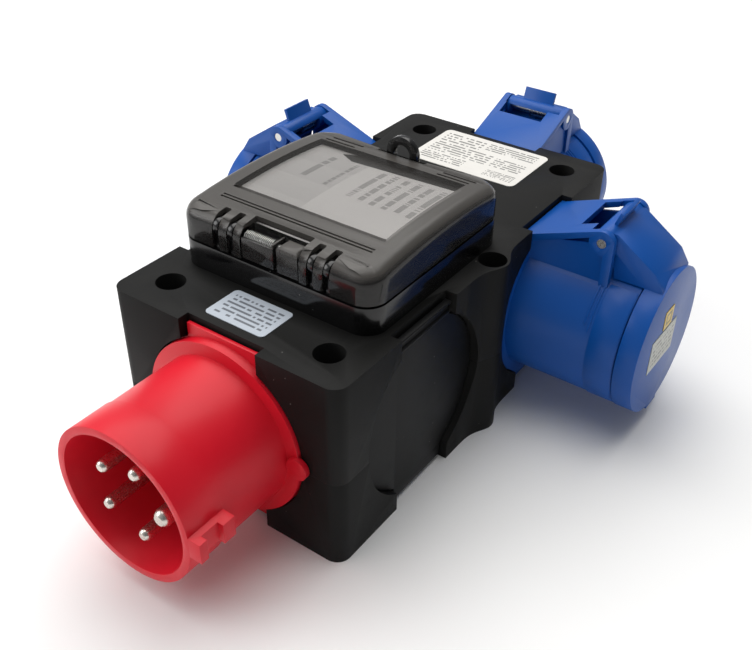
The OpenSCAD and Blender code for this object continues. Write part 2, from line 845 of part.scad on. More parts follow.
module mounting_rail() {
    web = rail_w - 8;
    color("#b4b7b9") translate([-rail_len / 2, win_y, rail_top - rail_h]) difference() {
        union() {
            translate([0, -web / 2, 0]) cube([rail_len, web, rail_t]);
            for (s = [-1, 1]) {
                translate([0, s * web / 2 - (s > 0 ? rail_t : 0), 0])
                    cube([rail_len, rail_t, rail_h]);
                translate([0, s > 0 ? web / 2 - rail_t : -rail_w / 2, rail_h - rail_t])
                    cube([rail_len, (rail_w - web) / 2 + rail_t, rail_t]);
            }
        }
        for (x = [-1, 1]) translate([rail_len / 2 + x * (rcd_w / 2 - 8), 0, -1])
            cylinder(r = 2, h = 4);
    }
}

module rail_screws() {
    color("silver") for (x = [-1, 1]) translate([x * (rcd_w / 2 - 8), win_y, 0]) {
        translate([0, 0, rail_top - rail_h - 10]) cylinder(r = 1.55, h = 10 + rail_t);
        translate([0, 0, rail_top - rail_h + rail_t]) cylinder(r = 3.2, h = 2.4);
    }
}

module rcd_body() {
    color("#d9d9d6") difference() {
        union() {
            translate([-rcd_w / 2, win_y - rcd_l / 2, rail_top])
                cube([rcd_w, rcd_l, rcd_shoulder_h]);
            translate([-rcd_w / 2, win_y - rcd_front_l / 2, rail_top])
                cube([rcd_w, rcd_front_l, rcd_front_h]);
            for (s = [-1, 1]) translate([-rcd_w / 2, win_y + s * (rail_w / 2 + 3.2) - 3, rail_top - 3])
                cube([rcd_w, 6, 4]);
        }
        translate([-lever_w / 2 - 0.6, lever_y - 9, lever_z - lever_r - 1])
            cube([lever_w + 1.2, 18, 30]);
        translate([-lever_w / 2 - 3, lever_y, lever_z]) rotate([0, 90, 0])
            cylinder(r = 1.55, h = lever_w + 6);
        translate([button_x, win_y, rcd_front_z - 7]) cylinder(r = button_r + 0.15, h = 10);
        for (i = [0:3], s = [-1, 1]) translate([pole_x(i), win_y + s * (rcd_l / 2 - 8), 0]) {
            translate([0, 0, rail_top + rcd_shoulder_h - 6]) cylinder(r = 3.2, h = 10);
            translate([0, s > 0 ? 0 : -10, terminal_z]) rotate([-90, 0, 0])
                cylinder(r = 3, h = 10);
        }
    }
}

module rcd_lever() {
    color("#2f5fa8") translate([0, lever_y, lever_z]) {
        translate([-lever_w / 2 - 2.6, 0, 0]) rotate([0, 90, 0])
            cylinder(r = 1.5, h = lever_w + 5.2);
        translate([-lever_w / 2, 0, 0]) rotate([0, 90, 0]) cylinder(r = lever_r, h = lever_w);
        rotate([25, 0, 0]) translate([-lever_w / 2, -1.8, 0]) cube([lever_w, 3.6, 10]);
    }
}

module rcd_test_button() {
    color("#e5e3dc") translate([button_x, win_y, rcd_front_z - 7 + button_travel + seat]) cylinder(
        r = button_r, h = 7);
}

module terminal_block(y, holes) {
    difference() {
        translate([-block_half, y - block_w / 2, block_base]) cube([2 * block_half, block_w, block_h]);
        for (x = holes) translate([x, y, block_top - 5]) cylinder(r = wire_r + 0.1, h = 6);
    }
}

module earth_terminal() {
    color("#b9c23a") terminal_block(earth_y, EARTH_X);
}

module neutral_terminal() {
    color("#3b6fb5") terminal_block(neutral_y, NEUTRAL_X);
}

function pole_x(i) = rcd_w * (i - 1.5) / 4;

// A wire through its points: straight runs with round elbows.
module wire(points) {
    for (i = [0:len(points) - 2]) let (a = points[i], d = points[i + 1] - a, l = norm(d)) {
        translate(a) rotate([0, acos(d[2] / l), atan2(d[1], d[0])])
            cylinder(r = wire_r, h = l, $fn = 24);
        if (i > 0) translate(a) rotate([90, 0, 40]) sphere(wire_r + elbow_swell, $fn = 24);
    }
}

function inlet_pin_place(i) = [
    pin_circle_r * cos(pin_angle(i) - 90),
    -half_l - pin_tail,
    conn_z - pin_circle_r * sin(pin_angle(i) - 90)];

module inlet_wires() {
    color("#4b4b4b") for (i = [1:4]) let (
        a = inlet_pin_place(i),
        b = [pole_x([0, 2, 1, 0, 3][i]), win_y - rcd_l / 2 + 1, terminal_z],
        bend_y = a[1] + (i == 4 ? 8 : 5))
        wire([a, [a[0], bend_y, a[2]], [b[0], bend_y, b[2]], b]);
}

function socket_contact_place(p, i) = let (
    v = -contact_circle_r * sin(contact_angle(i)),
    w = contact_circle_r * cos(contact_angle(i)))
    [p[0] + contact_back * cos(p[2]) - v * sin(p[2]),
     p[1] + contact_back * sin(p[2]) + v * cos(p[2]), conn_z + w];

function inward(p) = [-cos(p[2]), -sin(p[2]), 0];

SOCKETS = [LEFT_AT, REAR_AT, RIGHT_AT];

// Each socket takes its line from its own pole of the device.
module outlet_wires() {
    color("#6a4a2c") for (k = [0:2]) let (
        a = socket_contact_place(SOCKETS[k], 1),
        bend = a + 4 * inward(SOCKETS[k]),
        b = [pole_x(k), win_y + rcd_l / 2 - 1, terminal_z])
        wire([a, bend, [b[0], bend[1], b[2]], b]);
}

// The fourth pole feeds a terminal block that the three sockets share.
module neutral_wires() {
    feed = [pole_x(3), win_y + rcd_l / 2 - 1, terminal_z];
    feed_end = [NEUTRAL_X[1], neutral_y, block_top];
    color("#3c62a0") {
        wire([feed, feed + [0, 15, 0], feed_end + [0, 0, 8], feed_end]);
        for (k = [0:2]) let (
            a = socket_contact_place(SOCKETS[k], 2),
            end = [NEUTRAL_X[[0, 2, 3][k]], neutral_y, block_top])
            wire([a, a + 4 * inward(SOCKETS[k]), end + [0, 0, 8], end]);
    }
}

module earth_wires() {
    from_inlet = inlet_pin_place(0);
    inlet_end = [EARTH_X[0], earth_y, block_top];
    run_z = 14;
    color("#7fae3a") {
        wire([from_inlet, from_inlet + [0, 2.5, 0],
            [from_inlet[0], from_inlet[1] + 2.5, run_z], [inlet_end[0], earth_y - 14, run_z],
            inlet_end + [0, -6, 3.5], inlet_end + [0, 0, 3.5], inlet_end]);
        for (k = [0:2]) let (
            a = socket_contact_place(SOCKETS[k], 0),
            end = [EARTH_X[k + 1], earth_y, block_top])
            wire([a, a + 3 * inward(SOCKETS[k]), end + [0, 0, 6], end]);
    }
}

// ---- Labels ----

module rating_label() {
    color("#e8e5df") translate([0, half_l - 27, case_h]) linear_extrude(0.3)
        rounded_rect(56, 37, 3);
}

module notice_label() {
    color("#c4cad3") translate([0, -half_l + 17.7, case_h]) linear_extrude(0.3)
        rounded_rect(28, 18, 2);
}

lower_shell();
upper_shell();
case_seal();
case_screws();
position_gaskets();
blank_plate(BLANK_RIGHT_AT);  // blank_plate_right
blank_plate(BLANK_LEFT_AT);  // blank_plate_left
inlet_housing();
inlet_carrier();
inlet_phase_pins();
inlet_earth_pin();
socket_housing(RIGHT_AT);  // socket_housing_right
socket_carrier(RIGHT_AT);  // socket_carrier_right
socket_contacts(RIGHT_AT);  // socket_contacts_right
socket_lid(RIGHT_AT);  // socket_lid_right
lid_seal(RIGHT_AT);  // lid_seal_right
lid_pin(RIGHT_AT);  // lid_pin_right
lid_spring(RIGHT_AT);  // lid_spring_right
lid_label(RIGHT_AT);  // lid_label_right
socket_housing(REAR_AT);  // socket_housing_rear
socket_carrier(REAR_AT);  // socket_carrier_rear
socket_contacts(REAR_AT);  // socket_contacts_rear
socket_lid(REAR_AT);  // socket_lid_rear
lid_seal(REAR_AT);  // lid_seal_rear
lid_pin(REAR_AT);  // lid_pin_rear
lid_spring(REAR_AT);  // lid_spring_rear
socket_housing(LEFT_AT);  // socket_housing_left
socket_carrier(LEFT_AT);  // socket_carrier_left
socket_contacts(LEFT_AT);  // socket_contacts_left
socket_lid(LEFT_AT);  // socket_lid_left
lid_seal(LEFT_AT);  // lid_seal_left
lid_pin(LEFT_AT);  // lid_pin_left
lid_spring(LEFT_AT);  // lid_spring_left
window_frame();
window_seal();
window_lid();
window_pin();
window_spring();
leaflet();
frame_screws();
mounting_rail();
rail_screws();
rcd_body();
rcd_lever();
rcd_test_button();
earth_terminal();
neutral_terminal();
inlet_wires();
outlet_wires();
neutral_wires();
earth_wires();
rating_label();
notice_label();
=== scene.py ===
"""A portable power distribution box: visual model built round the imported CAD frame. Metres."""
import json
import math

import bpy
from mathutils import Matrix, Vector


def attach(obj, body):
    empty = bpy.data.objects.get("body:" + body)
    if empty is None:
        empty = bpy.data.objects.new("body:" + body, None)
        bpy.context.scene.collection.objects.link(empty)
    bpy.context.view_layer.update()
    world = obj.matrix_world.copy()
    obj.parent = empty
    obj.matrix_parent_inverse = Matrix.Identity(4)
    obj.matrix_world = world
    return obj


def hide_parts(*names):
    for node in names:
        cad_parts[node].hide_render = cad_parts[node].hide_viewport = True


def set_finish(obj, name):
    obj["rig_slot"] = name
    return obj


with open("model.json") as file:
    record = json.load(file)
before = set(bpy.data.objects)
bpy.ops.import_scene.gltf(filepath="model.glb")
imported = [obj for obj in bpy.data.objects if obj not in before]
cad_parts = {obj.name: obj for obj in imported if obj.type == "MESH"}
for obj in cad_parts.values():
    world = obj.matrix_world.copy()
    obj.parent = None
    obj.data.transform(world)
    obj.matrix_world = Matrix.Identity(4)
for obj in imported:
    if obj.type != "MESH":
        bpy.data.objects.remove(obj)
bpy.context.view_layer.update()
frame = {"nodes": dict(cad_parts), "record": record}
NODES = frame["nodes"]
RECORD = frame["record"]
BODY_OF = {n: body for body, members in RECORD["behaviour"]["bodies"].items() for n in members}
SLOT_OF = {s["node"]: s["material_slot"] for s in RECORD["subparts"]}
MM = 0.001

# Places and sizes in millimetres, in the frame's axes.
WIN_Y = -28.8  # the middle of the window lid
LID_Z = 95.3  # the lid's lower edge
LID_TOP = 110.8  # the crown of its arched top
ARCH_R = 317.93  # the radius of that arch
SOCKET_Y = 47.4  # the axis of the two side sockets
SOCKET_Z = 41.5  # the height of every socket's axis


# ---- Modelling ----

def select_only(*pieces):
    """Leaves object mode with these pieces selected and the first one active."""
    if bpy.context.object and bpy.context.object.mode != "OBJECT":
        bpy.ops.object.mode_set(mode="OBJECT")
    bpy.ops.object.select_all(action="DESELECT")
    for piece in pieces:
        piece.select_set(True)
    bpy.context.view_layer.objects.active = pieces[0]


def modify(piece, kind, **settings):
    """Adds one modifier and applies it."""
    select_only(piece)
    modifier = piece.modifiers.new(kind, kind)
    for name, value in settings.items():
        setattr(modifier, name, value)
    bpy.ops.object.modifier_apply(modifier=modifier.name)
    return piece


def smooth(piece, angle=35):
    select_only(piece)
    bpy.ops.object.shade_smooth_by_angle(angle=math.radians(angle))
    return piece


def settle(piece):
    """Puts the object's place into its mesh, with its faces pointing outwards."""
    select_only(piece)
    bpy.ops.object.transform_apply(location=True, rotation=True, scale=True)
    bpy.ops.object.mode_set(mode="EDIT")
    bpy.ops.mesh.select_all(action="SELECT")
    bpy.ops.mesh.remove_doubles(threshold=1e-6)
    bpy.ops.mesh.normals_make_consistent(inside=False)
    bpy.ops.object.mode_set(mode="OBJECT")
    return piece


def join(name, pieces):
    select_only(*pieces)
    if len(pieces) > 1:
        bpy.ops.object.join()
    bpy.context.object.name = name
    return bpy.context.object


def moulded(node, round_mm, segments=2, angle=38):
    """A copy of a CAD node with its facets merged and its edges rounded, standing for the node."""
    mesh = NODES[node].data.copy()
    mesh.materials.clear()
    name = node.replace("shell", "half") + "_moulded"
    piece = bpy.data.objects.new(name, mesh)
    bpy.context.scene.collection.objects.link(piece)
    select_only(piece)
    bpy.ops.object.mode_set(mode="EDIT")
    bpy.ops.mesh.select_all(action="SELECT")
    bpy.ops.mesh.remove_doubles(threshold=2e-6)
    bpy.ops.mesh.dissolve_limited(angle_limit=math.radians(0.5))
    bpy.ops.object.mode_set(mode="OBJECT")
    modify(piece, "BEVEL", width=round_mm * MM, segments=segments, limit_method="ANGLE",
           angle_limit=math.radians(angle), use_clamp_overlap=True, harden_normals=False,
           miter_outer="MITER_ARC")
    smooth(piece)
    return stand_for(piece, node)


def stand_for(piece, *nodes, slot=None):
    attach(piece, BODY_OF[nodes[0]])
    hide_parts(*nodes)
    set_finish(piece, slot or SLOT_OF[nodes[0]])
    return piece


def block(name, low, high, round_mm=0.0, segments=3):
    """A box between two corners in millimetres, with rounded edges."""
    low, high = Vector(low) * MM, Vector(high) * MM
    select_none()
    bpy.ops.mesh.primitive_cube_add(size=1, location=(low + high) / 2)
    piece = bpy.context.object
    piece.name = name
    piece.scale = high - low
    bpy.ops.object.transform_apply(location=True, rotation=True, scale=True)
    if round_mm:
        modify(piece, "BEVEL", width=round_mm * MM, segments=segments, limit_method="NONE")
    return piece


def select_none():
    if bpy.context.object and bpy.context.object.mode != "OBJECT":
        bpy.ops.object.mode_set(mode="OBJECT")
    bpy.ops.object.select_all(action="DESELECT")


def combine(piece, other, operation):
    """Unites, intersects or cuts the piece with the other as closed skins, and removes the other."""
    modify(piece, "BOOLEAN", operation=operation, solver="MANIFOLD", object=other)
    bpy.data.objects.remove(other)
    return piece


def cut(piece, cutters):
    """Takes the cutters' shape out of the piece and removes them."""
    return combine(piece, join("cutter", cutters), "DIFFERENCE")


# ---- Materials ----

class Value:
    """A shader socket that takes part in Python expressions."""

    def __init__(self, finish, socket):
        self.finish, self.socket = finish, socket

    def _math(self, operation, first, second=None):
        inputs = {0: first} if second is None else {0: first, 1: second}
        return self.finish.node("ShaderNodeMath", {"operation": operation}, inputs)

    def __add__(self, other): return self._math("ADD", self, other)
    def __radd__(self, other): return self._math("ADD", other, self)
    def __sub__(self, other): return self._math("SUBTRACT", self, other)
    def __rsub__(self, other): return self._math("SUBTRACT", other, self)
    def __mul__(self, other): return self._math("MULTIPLY", self, other)
    def __rmul__(self, other): return self._math("MULTIPLY", other, self)
    def __truediv__(self, other): return self._math("DIVIDE", self, other)
    def __gt__(self, other): return self._math("GREATER_THAN", self, other)
    def __lt__(self, other): return self._math("LESS_THAN", self, other)
    def __mod__(self, other): return self._math("FLOORED_MODULO", self, other)
    def __abs__(self): return self._math("ABSOLUTE", self)
    def floor(self): return self._math("FLOOR", self)
    def least(self, other): return self._math("MINIMUM", self, other)
    def most(self, other): return self._math("MAXIMUM", self, other)


class Finish:
    """One material, wired up by expressions."""

    def __init__(self, name, **shader):
        self.material = bpy.data.materials.new(name)
        self.material.use_nodes = True
        self.tree = self.material.node_tree
        self.shader = self.tree.nodes["Principled BSDF"]
        for socket, value in shader.items():
            self.shader.inputs[socket.replace("_", " ")].default_value = value

    def node(self, kind, settings=None, inputs=None, output=0):
        made = self.tree.nodes.new(kind)
        for name, value in (settings or {}).items():
            setattr(made, name, value)
        for name, value in (inputs or {}).items():
            if isinstance(value, Value):
                self.tree.links.new(value.socket, made.inputs[name])
            else:
                made.inputs[name].default_value = value
        return Value(self, made.outputs[output])

    def place(self):
        return self.node("ShaderNodeTexCoord", output=3)

    def axes(self, vector=None):
        vector = vector or self.place()
        return [self.node("ShaderNodeSeparateXYZ", {}, {0: vector}, i) for i in range(3)]

    def noise(self, scale, detail=3.0, roughness=0.55, vector=None):
        return self.node("ShaderNodeTexNoise", {}, {"Vector": vector or self.place(), "Scale": scale,
                         "Detail": detail, "Roughness": roughness})

    def blend(self, factor, first, second):
        return self.node("ShaderNodeMix", {"data_type": "RGBA"}, {0: factor, 6: first, 7: second}, 2)

    def remap(self, value, low, high, to_low, to_high):
        return self.node("ShaderNodeMapRange", {}, {0: value, 1: low, 2: high, 3: to_low, 4: to_high})

    def bump(self, height, distance_mm, strength=1.0):
        return self.node("ShaderNodeBump", {}, {"Height": height, "Distance": distance_mm * MM,
                         "Strength": strength})

    def feed(self, **sockets):
        for name, value in sockets.items():
            self.tree.links.new(value.socket, self.shader.inputs[name.replace("_", " ")])
        return self.material


def rgba(r, g, b):
    return (r, g, b, 1.0)


def moulded_plastic(name, colour, roughness, grain=1800.0, grain_depth=0.012, wear=0.12, specks=0.0,
                    **shader):
    """Injection-moulded plastic: a fine eroded grain, slow changes of sheen and a little dust."""
    f = Finish(name, **shader)
    slow = f.noise(28.0, 4.0)
    fine = f.noise(grain, 2.0, 0.6)
    scuff = f.noise(240.0, 6.0, 0.7)
    worn = f.remap(scuff, 0.56, 0.74, 0.0, 1.0)
    light = tuple(min(1.0, c * (1 + 2.2 * wear) + 0.02 * wear) for c in colour)
    dark = tuple(c * (1 - wear) for c in colour)
    tone = f.blend(slow, rgba(*dark), rgba(*light))
    tone = f.blend(worn * (0.5 * wear), tone, rgba(*(min(1.0, c * 1.6 + 0.03) for c in colour)))
    if specks:
        cells = f.node("ShaderNodeTexVoronoi", {"feature": "F1"}, {"Vector": f.place(),
                       "Scale": 210.0, "Randomness": 1.0})
        chosen = f.noise(120.0, 1.0) > 0.6
        dust = (cells < 0.055) * chosen
        tone = f.blend(dust * specks, tone, rgba(0.42, 0.41, 0.39))
    gloss = f.remap(slow, 0.3, 0.7, roughness - 0.05, roughness + 0.06) + worn * (0.6 * wear)
    return f.feed(Base_Color=tone, Roughness=gloss, Normal=f.bump(fine, grain_depth, 0.8))


def turned_metal(name, colour, roughness, scratch_axis=1):
    """Plated or drawn metal with fine scratches round the axis."""
    f = Finish(name, Metallic=1.0)
    stretch = [900.0, 900.0, 900.0]
    stretch[scratch_axis] = 9000.0
    fine = f.noise(1.0, 3.0, 0.6, f.node("ShaderNodeMapping", {}, {0: f.place(), 3: stretch}))
    slow = f.noise(90.0, 3.0)
    tone = f.blend(slow, rgba(*(0.82 * c for c in colour)), rgba(*colour))
    return f.feed(Base_Color=tone,
                  Roughness=f.remap(fine, 0.3, 0.7, roughness - 0.06, roughness + 0.08),
                  Normal=f.bump(fine, 0.004, 0.5))


def smoked_plastic():
    """Smoked plastic: a clear pane over the leaflet inside a finely etched, denser border."""
    f = Finish("smoked_clear_plastic", IOR=1.5, Specular_IOR_Level=0.4)
    x, y, z = f.axes()
    along = y - WIN_Y * MM
    depth = z + along * along / (2 * ARCH_R * MM) - LID_TOP * MM
    border = f.remap(depth, -3.4 * MM, -1.6 * MM, 0.0, 1.0)
    pane = within(f, x, -36, 35.5) * within(f, y, -51.2, 3) * (depth > -5 * MM)
    etched = border * (1 - pane)
    rim = f.node("ShaderNodeFresnel", {}, {"IOR": 1.45})
    slow = f.noise(22.0, 3.0)
    etch = f.noise(1900.0, 2.0, 0.6)
    tone = f.blend(slow, rgba(0.016, 0.0155, 0.015), rgba(0.021, 0.020, 0.019))
    tone = f.blend(etched, tone, rgba(0.080, 0.074, 0.068))
    return f.feed(Base_Color=f.blend(pane, tone, rgba(0.09, 0.085, 0.08)),
                  Alpha=(0.82 - pane * 0.66 + rim * (0.4 - pane * 0.25)).least(0.98),
                  Roughness=f.remap(slow, 0.3, 0.7, 0.15, 0.19) + etched * 0.14,
                  Normal=f.bump(etch * etched, 0.004, 0.5))


def print_rows(f, u, v, row_mm, dash_mm, ink_share, seed):
    """1 where a row of generic dashes, like small print, is inked. u runs along the rows, in metres."""
    rows = v / (row_mm * MM)
    row = rows.floor()
    inside = ((rows - row) > 0.28) * ((rows - row) < 0.72)
    broken = f.node("ShaderNodeTexWhiteNoise", {"noise_dimensions": "2D"}, {"Vector": f.node(
        "ShaderNodeCombineXYZ", {}, {0: (u / (dash_mm * MM)).floor(), 1: row + seed})})
    return inside * (broken < ink_share)


def within(f, value, low_mm, high_mm):
    return (value > low_mm * MM) * (value < high_mm * MM)


def label_film(name, paper, ink, middle, spans):
    """Printed film: rows of generic dashes in the given spans, each (u0, u1, v0, v1, row height)."""
    f = Finish(name)
    x, y, z = f.axes()
    u, v = x - middle[0] * MM, y - middle[1] * MM
    inked = None
    for i, (u0, u1, v0, v1, row) in enumerate(spans):
        part = print_rows(f, u, v, row, row * 0.42, 0.72, i * 7.0)
        part = part * within(f, u, u0, u1) * within(f, v, v0, v1)
        inked = part if inked is None else inked.most(part)
    slow = f.noise(60.0, 3.0)
    tone = f.blend(slow, rgba(*(0.93 * c for c in paper)), rgba(*paper))
    return f.feed(Base_Color=f.blend(inked * 0.8, tone, rgba(*ink)),
                  Roughness=f.remap(slow, 0.3, 0.7, 0.32, 0.42),
                  Normal=f.bump(f.noise(700.0, 2.0), 0.006, 0.4))


def leaflet_paper():
    """A folded printed sheet: a heading, paragraphs of generic dashes and a lighter lapped half."""
    f = Finish("leaflet_paper")
    x, y, z = f.axes()
    head = print_rows(f, y, x, 6.4, 1.1, 0.8, 3.0) * within(f, y, -28, -5) * within(f, x, -25.6, -19.2)
    sub = print_rows(f, y, x, 4.2, 0.6, 0.75, 5.0) * within(f, y, -28, -5) * within(f, x, -12.6, -8.4)
    text = print_rows(f, y, x, 5.6, 0.7, 0.72, 9.0) * within(f, y, -31, -4) * within(f, x, 0, 33.6)
    inked = head.most(sub).most(text)
    lapped = x > -6.5 * MM
    panel = f.remap((y / (14.5 * MM)) % 1, 0.0, 1.0, 0.0, 1.0) * (1 - lapped * 0.8)
    slow = f.noise(40.0, 3.0)
    base = f.blend(lapped, rgba(0.66, 0.64, 0.625), rgba(0.84, 0.81, 0.79))
    base = f.blend(panel * 0.35, base, rgba(0.84, 0.81, 0.79))
    tone = f.blend(slow * 0.2, base, rgba(0.52, 0.51, 0.5))
    tone = f.blend(inked * 0.5, tone, rgba(0.13, 0.13, 0.13))
    low = (x + 15.9 * MM) * 0.072 - 3.7 * MM
    bar = (y > low) * (x < 33 * MM) * ((x + 22.8 * MM) * 0.55 > abs(y - 0.5 * MM))
    tone = f.blend(bar, tone, rgba(0.012, 0.012, 0.012))
    return f.feed(Base_Color=tone, Roughness=f.remap(slow, 0.3, 0.7, 0.5, 0.62),
                  Normal=f.bump(f.noise(900.0, 3.0), 0.01, 0.5))


def lid_stickers():
    """The silver label on a socket lid with rows of generic dashes, and a yellow one above it."""
    f = Finish("lid_sticker_film")
    x, y, z = f.axes()
    u, v = y - SOCKET_Y * MM, z - SOCKET_Z * MM
    yellow = v > 7.6 * MM
    inked = print_rows(f, u, v, 2.4, 0.8, 0.62, 2.0) * within(f, u, -14, 8)
    inked = inked * within(f, v, -7.4, 5.8) * (1 - yellow)
    mark = within(f, u, -4.4, 1.4) * within(f, v, 9.6, 15.4) * yellow
    hollow = within(f, u, -3.2, 0.2) * within(f, v, 10.8, 14.2)
    slow = f.noise(60.0, 3.0)
    tone = f.blend(slow, rgba(0.50, 0.51, 0.46), rgba(0.58, 0.59, 0.54))
    tone = f.blend(yellow, tone, rgba(0.74, 0.52, 0.10))
    tone = f.blend(inked * 0.7, tone, rgba(0.07, 0.07, 0.07))
    return f.feed(Base_Color=f.blend(mark * (1 - hollow) * 0.75, tone, rgba(0.12, 0.09, 0.04)),
                  Roughness=f.remap(slow, 0.3, 0.7, 0.34, 0.44),
                  Normal=f.bump(f.noise(700.0), 0.006, 0.4))


def rubber(name, colour):
    f = Finish(name, Specular_IOR_Level=0.3)
    slow = f.noise(160.0, 4.0)
    dark, light = (rgba(*(share * c for c in colour)) for share in (0.7, 1.3))
    return f.feed(Base_Color=f.blend(slow, dark, light),
                  Roughness=f.remap(slow, 0.3, 0.7, 0.62, 0.78),
                  Normal=f.bump(f.noise(2600.0), 0.01, 0.6))


CASE_BLACK = (0.0056, 0.0056, 0.0053)
BLUE = (0.003, 0.078, 0.36)
RED = (0.66, 0.008, 0.022)
MATERIALS = {
    "case_black": moulded_plastic("eroded_black_plastic", CASE_BLACK, 0.52, 1500.0, 0.03, 0.16, 0.30,
                                  Specular_IOR_Level=0.13),
    "plate_black": moulded_plastic("plate_black_plastic", (0.005, 0.0052, 0.0055), 0.44, 1700.0, 0.02, 0.12,
                                   0.35, Specular_IOR_Level=0.18),
    "frame_black": moulded_plastic("gloss_black_plastic", (0.004, 0.004, 0.0042), 0.17, 900.0, 0.006, 0.06,
                                   0.45),
    "smoked_lid": smoked_plastic(),
    "red_shell": moulded_plastic("signal_red_plastic", RED, 0.36, 1300.0, 0.010, 0.06, 0.0,
                                 Specular_IOR_Level=0.28),
    "red_carrier": moulded_plastic("red_carrier_plastic", (0.42, 0.012, 0.03), 0.42, 1300.0, 0.012, 0.08),
    "blue_housing": moulded_plastic("signal_blue_plastic", BLUE, 0.36, 1300.0, 0.010, 0.06, 0.0,
                                    Specular_IOR_Level=0.28),
    "blue_lid": moulded_plastic("blue_lid_plastic", BLUE, 0.34, 1300.0, 0.010, 0.06, 0.0,
                                Specular_IOR_Level=0.28),
    "blue_carrier": moulded_plastic("blue_carrier_plastic", (0.014, 0.05, 0.22), 0.42, 1300.0, 0.012, 0.08),
    "seal_rubber": rubber("black_rubber", (0.02, 0.02, 0.02)),
    "pin_nickel": turned_metal("nickel_plate", (0.72, 0.69, 0.63), 0.26),
    "contact_brass": turned_metal("turned_brass", (0.62, 0.42, 0.16), 0.3),
    "hinge_steel": turned_metal("bright_steel", (0.68, 0.68, 0.66), 0.28, 0),
    "spring_steel": turned_metal("spring_wire", (0.5, 0.5, 0.48), 0.22, 0),
    "screw_steel": turned_metal("zinc_screws", (0.55, 0.55, 0.54), 0.32, 2),
    "rail_zinc": turned_metal("zinc_rail", (0.6, 0.62, 0.63), 0.34, 0),
    "device_white": moulded_plastic("light_grey_plastic", (0.62, 0.62, 0.60), 0.4),
    "lever_blue": moulded_plastic("lever_plastic", (0.03, 0.12, 0.4), 0.35),
    "button_ivory": moulded_plastic("button_plastic", (0.7, 0.66, 0.56), 0.35),
    "terminal_green": moulded_plastic("green_terminal_plastic", (0.22, 0.36, 0.04), 0.4),
    "terminal_blue": moulded_plastic("blue_terminal_plastic", (0.04, 0.14, 0.4), 0.4),
    "wire_grey": rubber("grey_wire", (0.08, 0.08, 0.08)),
    "wire_brown": rubber("brown_wire", (0.13, 0.05, 0.02)),
    "wire_blue": rubber("blue_wire", (0.03, 0.11, 0.38)),
    "wire_green": rubber("green_wire", (0.16, 0.34, 0.03)),
    "leaflet_paper": leaflet_paper(),
    "label_white": label_film("white_label_film", (0.80, 0.78, 0.74), (0.05, 0.05, 0.05), (0, 76.5), [
        (-25, -4, 6, 15.5, 2.6), (-2, 24, 7.5, 15.5, 2.0), (-25, 6, -6, 4, 2.3), (8, 24, -6, 4, 2.0),
        (-25, -2, -15, -8, 1.9), (10, 25, -15.5, -9, 1.3)]),
    "label_silver": label_film("silver_label_film", (0.50, 0.55, 0.62), (0.05, 0.055, 0.07), (0, -85.8), [
        (-11.5, 11.5, -6.8, 7.2, 2.35)]),
    "sticker_silver": lid_stickers(),
}


def paint(piece):
    """Gives the piece the material of its slot."""
    piece.data.materials.clear()
    piece.data.materials.append(MATERIALS[piece["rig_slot"]])
    return piece


# ---- The case and its fittings ----

ROUNDING = {
    "lower_shell": 0.7, "upper_shell": 0.7, "blank_plate_right": 0.5, "blank_plate_left": 0.5,
    "inlet_housing": 0.8, "inlet_carrier": 0.4, "window_frame": 0.5,
    "rcd_body": 0.6, "rcd_lever": 0.5, "rcd_test_button": 0.3, "case_screws": 0.3,
}
for side in ("right", "rear", "left"):
    ROUNDING["socket_housing_" + side] = 0.5
    ROUNDING["socket_lid_" + side] = 0.6
    ROUNDING["socket_carrier_" + side] = 0.4
for node, width in ROUNDING.items():
    paint(moulded(node, width))


# ---- The hinged window lid ----

ARCH_Z = LID_TOP - ARCH_R
HINGE = Vector((0, -70.0, 103.3))
LID_LOW, LID_HIGH = (-46, -73.8), (46, 16.2)  # the lid's outline, x and y
LID_WALL = 2.4
LID_CORNER = 9  # the rounding of its upright corners
LID_RIM = 5.4  # the rounding between its walls and its top
ROUGH_TOP = 118  # above the arch, which trims it
CUT_LOW, CUT_TOP = 94, 120  # a through cut starts below the lid and ends above it
EAR_SLOTS = (-26, -18.8, 18.8, 26)  # the middle of each ear slot
CHANNELS = (  # from x, to x, at y, width, depth
    (-35.6, 36.2, -52.0, 1.6, 1.1), (-35, 36.2, -58.6, 0.9, 0.6), (-35, 36.2, -60.2, 0.9, 0.6),
    (-34.8, -19.6, 4.6, 1.2, 0.8), (-33.4, -17.4, 7.9, 1.2, 0.8),
    (20.8, 35.9, 4.8, 1.2, 0.8), (22.1, 37.6, 7.6, 1.2, 0.8),
)


def creases(piece, test, angle=40):
    """In edit mode, selects the edges that pass the test and whose faces meet at more than the angle."""
    select_only(piece)
    bpy.ops.object.mode_set(mode="EDIT")
    bpy.ops.mesh.select_mode(type="EDGE")
    bpy.ops.mesh.select_all(action="DESELECT")
    bpy.ops.object.mode_set(mode="OBJECT")
    mesh, sides = piece.data, {}
    for face in mesh.polygons:
        for key in face.edge_keys:
            sides.setdefault(key, []).append(face.normal.copy())
    for edge in mesh.edges:
        meeting = sides.get(edge.key, [])
        mid = (mesh.vertices[edge.vertices[0]].co + mesh.vertices[edge.vertices[1]].co) / 2
        sharp = len(meeting) == 2 and meeting[0].angle(meeting[1]) > math.radians(angle)
        edge.select = bool(sharp and test(mid / MM))
    bpy.ops.object.mode_set(mode="EDIT")


def round_creases(piece, test, radius, segments, angle=40):
    """Rounds the creases that pass the test, which takes an edge's middle in millimetres."""
    creases(piece, test, angle)
    bpy.ops.mesh.bevel(offset=radius * MM, segments=segments, profile=0.5, affect="EDGES")
    bpy.ops.object.mode_set(mode="OBJECT")
    return piece


